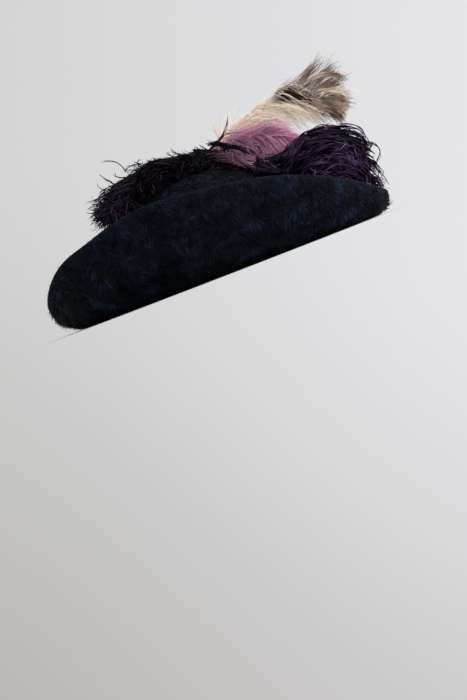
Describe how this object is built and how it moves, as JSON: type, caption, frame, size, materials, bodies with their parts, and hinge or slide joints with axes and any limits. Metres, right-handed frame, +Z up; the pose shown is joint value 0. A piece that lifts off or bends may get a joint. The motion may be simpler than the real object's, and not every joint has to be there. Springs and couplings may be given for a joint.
{
  "type": "picture hat",
  "caption": "Wide-brimmed picture hat of long-napped dark fur felt, the brim rolled up all round and highest on one side, with ostrich plumes on its deep round crown.",
  "frame": {"origin": "on the plane that the brim rests on, under the middle of the hat's outline", "axes": "+Z up along the crown, -Y the wearer's front, -X the wearer's right, where the brim is highest"},
  "size_m": [0.442, 0.456, 0.2189],
  "materials": {
    "felt": "long silky nap, blue-black",
    "aubergine_feather": "soft curled barbs, dark aubergine",
    "violet_feather": "soft curled barbs, dark violet",
    "mauve_feather": "soft barbs, dusty mauve",
    "cream_feather": "soft barbs, cream with a brown centre and brown tips"
  },
  "bodies": {
    "root": {"brim": "felt", "crown": "felt", "back_plume": "aubergine_feather", "front_plume": "violet_feather", "mauve_plume": "mauve_feather", "cream_plume": "cream_feather"}
  },
  "joints": []
}
